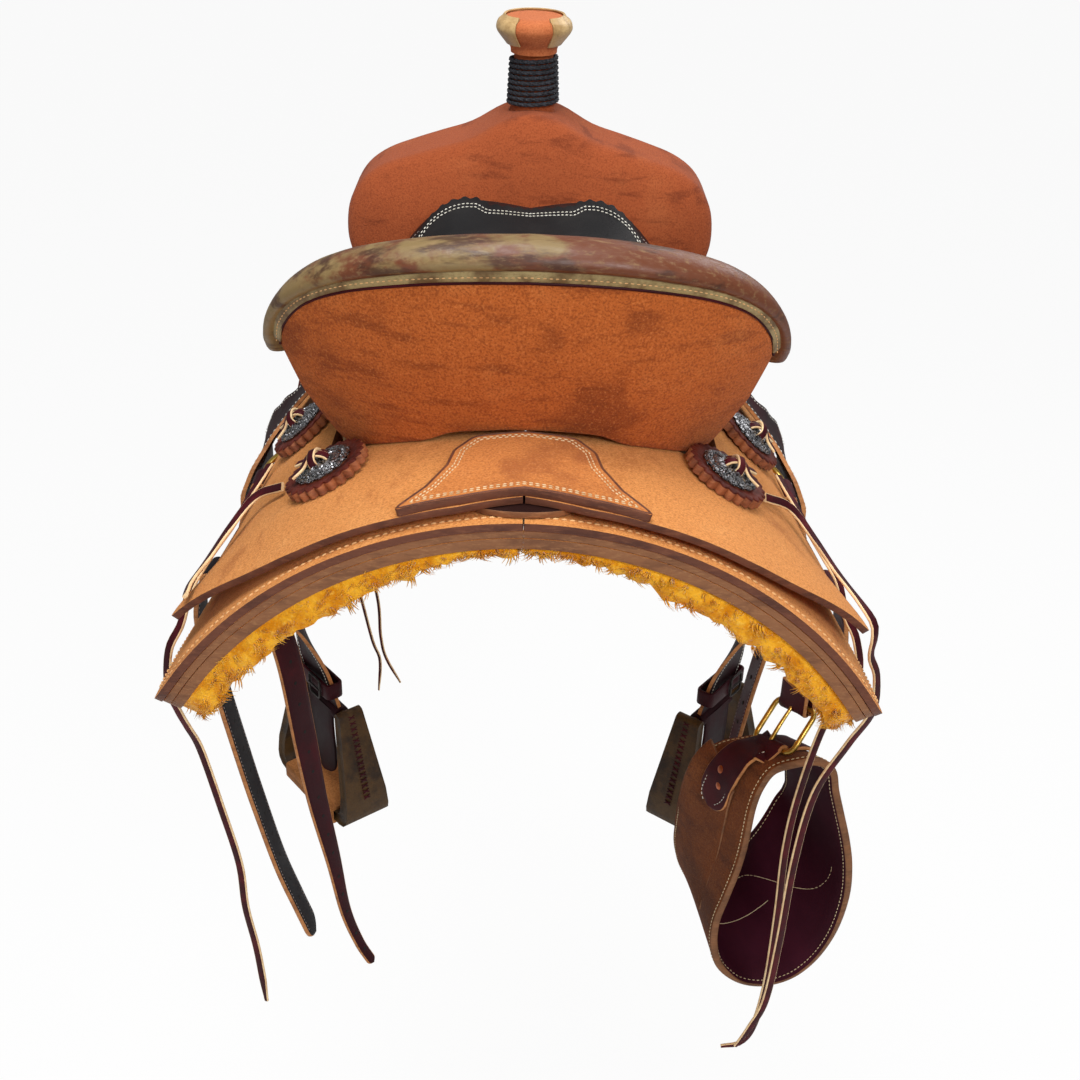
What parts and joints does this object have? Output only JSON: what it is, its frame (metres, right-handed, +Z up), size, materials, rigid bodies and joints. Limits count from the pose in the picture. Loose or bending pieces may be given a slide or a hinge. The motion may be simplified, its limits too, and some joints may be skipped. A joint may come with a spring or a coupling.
{
  "type": "mule saddle",
  "caption": "Western mule saddle with rawhide-bound cantle roll, wrapped horn, swinging fenders and stirrups, woolskin-lined skirts and a rear flank cinch.",
  "frame": {"origin": "crown of the fleece's underside at the middle of the skirts' length, where the saddle rests on the mule's spine", "axes": "+X to the rider's right, +Y forward towards the horn, +Z up"},
  "size_m": [0.6231, 0.7146, 1.0317],
  "materials": {
    "black_leather": "smooth, oiled",
    "brass": "satin",
    "burgundy_leather": "smooth, dyed",
    "cantle_rough_out": "rough-out suede",
    "dark_leather": "smooth, oiled",
    "fleece": "deep woolskin pile",
    "horn_cord": "braided cord",
    "lining_leather": "rough flesh side",
    "rawhide": "dry rawhide",
    "roll_rawhide": "mottled rawhide",
    "rough_out": "rough-out suede",
    "silver": "engraved, oxidised",
    "stirrup_rawhide": "rawhide on wood",
    "swell_leather": "smooth, waxed",
    "tread_leather": "worn roughout",
    "tree_wood": "sanded"
  },
  "bodies": {
    "saddle": {"back_jockey_left": "rough_out", "back_jockey_right": "rough_out", "back_plate": "rough_out", "cantle_back": "cantle_rough_out", "cantle_roll": "roll_rawhide", "concho_front_left": "silver", "concho_front_right": "silver", "concho_middle_left": "silver", "concho_middle_right": "silver", "concho_rear_left": "silver", "concho_rear_right": "silver", "fleece_left": "fleece", "fleece_right": "fleece", "front_dee_left": "brass", "front_dee_right": "brass", "front_jockey_left": "rough_out", "front_jockey_right": "rough_out", "horn_cap": "swell_leather", "horn_cap_rawhide": "rawhide", "horn_post": "swell_leather", "horn_wrap": "horn_cord", "rear_dee_left": "brass", "rear_dee_right": "brass", "rosette_front_left": "burgundy_leather", "rosette_front_right": "burgundy_leather", "rosette_middle_left": "burgundy_leather", "rosette_middle_right": "burgundy_leather", "rosette_rear_left": "burgundy_leather", "rosette_rear_right": "burgundy_leather", "seat": "dark_leather", "seat_inlay": "black_leather", "skirt_gusset": "dark_leather", "skirt_left": "rough_out", "skirt_right": "rough_out", "string_front_left_a": "black_leather", "string_front_left_b": "black_leather", "string_left_middle": "black_leather", "string_left_rear": "black_leather", "string_right_middle": "black_leather", "string_right_rear": "black_leather", "swell_cover": "swell_leather", "tree_bar_left": "tree_wood", "tree_bar_right": "tree_wood", "tree_cantle": "tree_wood", "tree_fork": "tree_wood"},
    "fender_left_body": {"fender_left": "dark_leather", "hobble_strap_left": "burgundy_leather"},
    "fender_right_body": {"fender_right": "dark_leather", "hobble_strap_right": "burgundy_leather"},
    "stirrup_left_body": {"stirrup_left": "stirrup_rawhide", "stirrup_tread_left": "tread_leather"},
    "stirrup_right_body": {"stirrup_right": "stirrup_rawhide", "stirrup_tread_right": "tread_leather"},
    "latigo_body": {"latigo_left": "burgundy_leather"},
    "off_billet_body": {"off_billet_right": "burgundy_leather"},
    "rear_billet_left_body": {"rear_billet_left": "black_leather"},
    "rear_billet_right_body": {"rear_billet_right": "black_leather", "cinch_buckle": "brass"},
    "cinch_body": {"flank_cinch": "lining_leather", "cinch_tab": "burgundy_leather"}
  },
  "joints": [
    {"name": "fender_left_swing", "type": "hinge", "parent": "saddle", "child": "fender_left_body", "pos_m": [-0.1, 0.085, 0.045], "axis": [1, 0, 0], "range_deg": [-2, 10]},
    {"name": "fender_right_swing", "type": "hinge", "parent": "saddle", "child": "fender_right_body", "pos_m": [0.1, 0.085, 0.045], "axis": [1, 0, 0], "range_deg": [-3, 20]},
    {"name": "stirrup_left_tilt", "type": "hinge", "parent": "fender_left_body", "child": "stirrup_left_body", "pos_m": [-0.22197, 0.085, -0.439], "axis": [0.6157, -0.788, 0], "range_deg": [-3, 25]},
    {"name": "stirrup_right_tilt", "type": "hinge", "parent": "fender_right_body", "child": "stirrup_right_body", "pos_m": [0.22197, 0.085, -0.439], "axis": [0.6157, 0.788, 0], "range_deg": [-3, 25]},
    {"name": "latigo_lift", "type": "hinge", "parent": "saddle", "child": "latigo_body", "pos_m": [-0.25283, -0.03, -0.09513], "axis": [0.0178, 0.9994, -0.0305], "range_deg": [0, 45]},
    {"name": "off_billet_lift", "type": "hinge", "parent": "saddle", "child": "off_billet_body", "pos_m": [0.25283, -0.03, -0.09513], "axis": [0.0178, -0.9994, 0.0305], "range_deg": [0, 45]},
    {"name": "rear_billet_left_lift", "type": "hinge", "parent": "saddle", "child": "rear_billet_left_body", "pos_m": [-0.27205, -0.165, -0.11493], "axis": [0.0646, 0.9925, -0.1034], "range_deg": [0, 50]},
    {"name": "rear_billet_right_lift", "type": "hinge", "parent": "saddle", "child": "rear_billet_right_body", "pos_m": [0.27205, -0.165, -0.11493], "axis": [0.0646, -0.9925, 0.1034], "range_deg": [0, 35]},
    {"name": "flank_cinch_swing", "type": "hinge", "parent": "rear_billet_right_body", "child": "cinch_body", "pos_m": [0.239, -0.17, -0.2915], "axis": [-0.4293, 0.8425, -0.3256], "range_deg": [-10, 10]}
  ]
}
